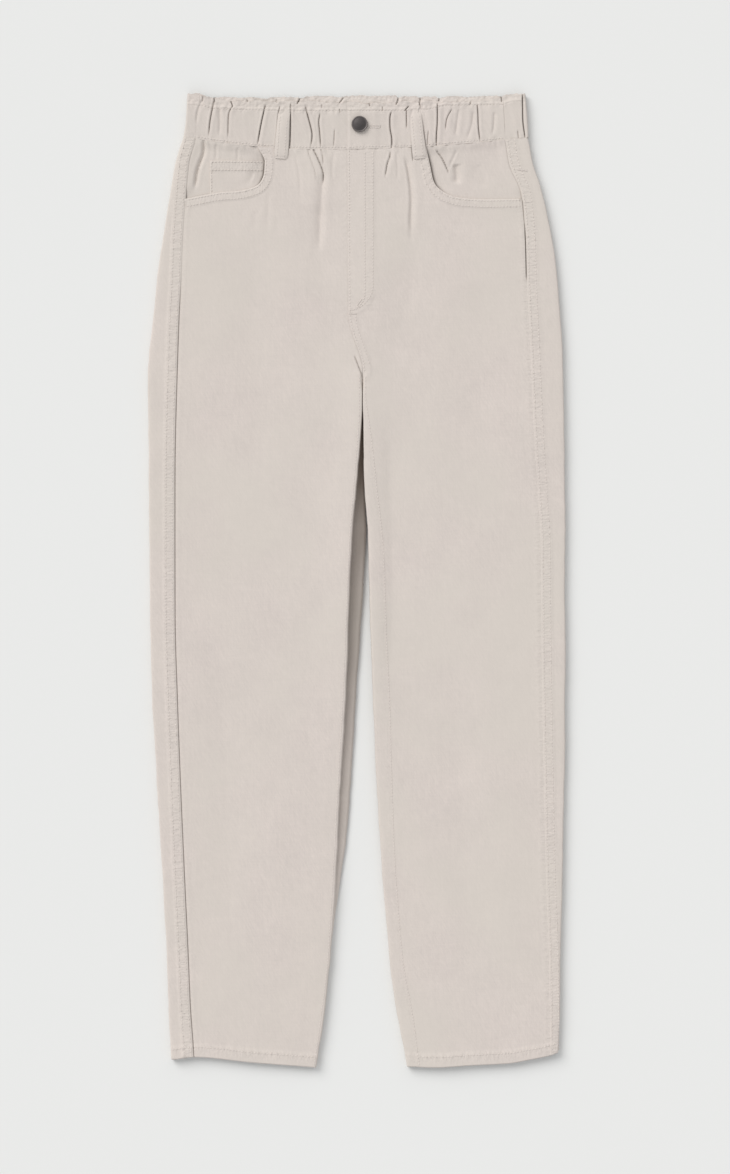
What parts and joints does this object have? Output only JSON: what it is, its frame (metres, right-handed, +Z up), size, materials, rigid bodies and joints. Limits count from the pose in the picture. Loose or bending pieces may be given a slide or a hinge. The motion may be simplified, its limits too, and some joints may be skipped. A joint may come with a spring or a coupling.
{
  "type": "mom jeans",
  "caption": "High-rise mom jeans in pale twill with an elasticated paper-bag waist, button, belt loops, curved front pockets and tapered ankle-length legs, laid flat on their back.",
  "frame": {"origin": "middle of the garment's outline, on the floor under it", "axes": "+Y from the hems to the waist, +Z up from the floor through the front, +X towards the wearer's left leg"},
  "size_m": [0.4344, 1.0154, 0.0145],
  "materials": {
    "twill": "matt pale beige cotton twill",
    "pocket_twill": "matt pale beige cotton twill",
    "button_metal": "dark satin metal"
  },
  "bodies": {
    "root": {"right_front": "twill", "left_front": "twill", "right_back": "twill", "left_back": "twill", "right_waistband_front": "twill", "left_waistband_front": "twill", "waistband_back": "twill", "right_belt_loop": "twill", "left_belt_loop": "twill", "right_pocket_facing": "pocket_twill", "left_pocket_facing": "pocket_twill", "coin_pocket": "pocket_twill", "waist_button": "button_metal"}
  },
  "joints": []
}
